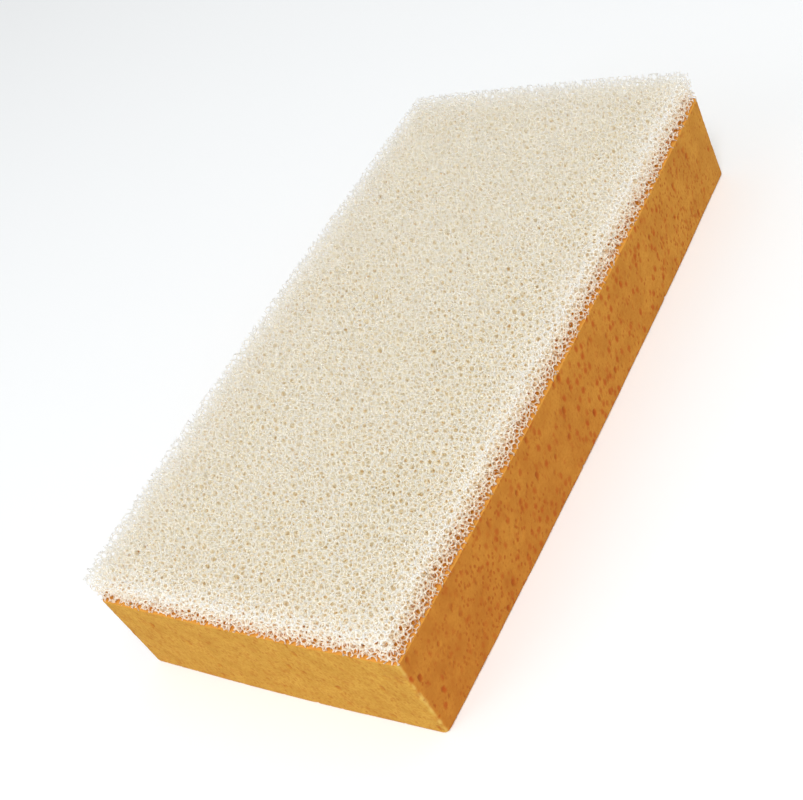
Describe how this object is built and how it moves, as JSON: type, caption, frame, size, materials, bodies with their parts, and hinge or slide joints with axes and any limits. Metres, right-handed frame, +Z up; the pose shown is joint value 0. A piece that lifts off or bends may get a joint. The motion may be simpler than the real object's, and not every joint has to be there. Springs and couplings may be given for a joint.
{
  "type": "grout sponge",
  "caption": "Rectangular two-layer grout sponge: an absorbent fine-celled foam block with a coarse open-cell net pad bonded on top.",
  "frame": {"origin": "centre of the underside of the absorbent block, on the surface that the sponge lies on", "axes": "+X across the width, +Y along the length, +Z up through the block to the net pad"},
  "size_m": [0.1, 0.2, 0.0384],
  "materials": {
    "block_foam": "matt fine open-cell sponge, orange, with scattered darker oval pores",
    "bond_film": "thin milky glue over the orange foam, slightly shiny",
    "net_foam": "off-white reticulated foam, an open net of fine satin strands"
  },
  "bodies": {
    "root": {"sponge_block": "block_foam", "adhesive_film": "bond_film", "scrub_pad": "net_foam"}
  },
  "joints": []
}
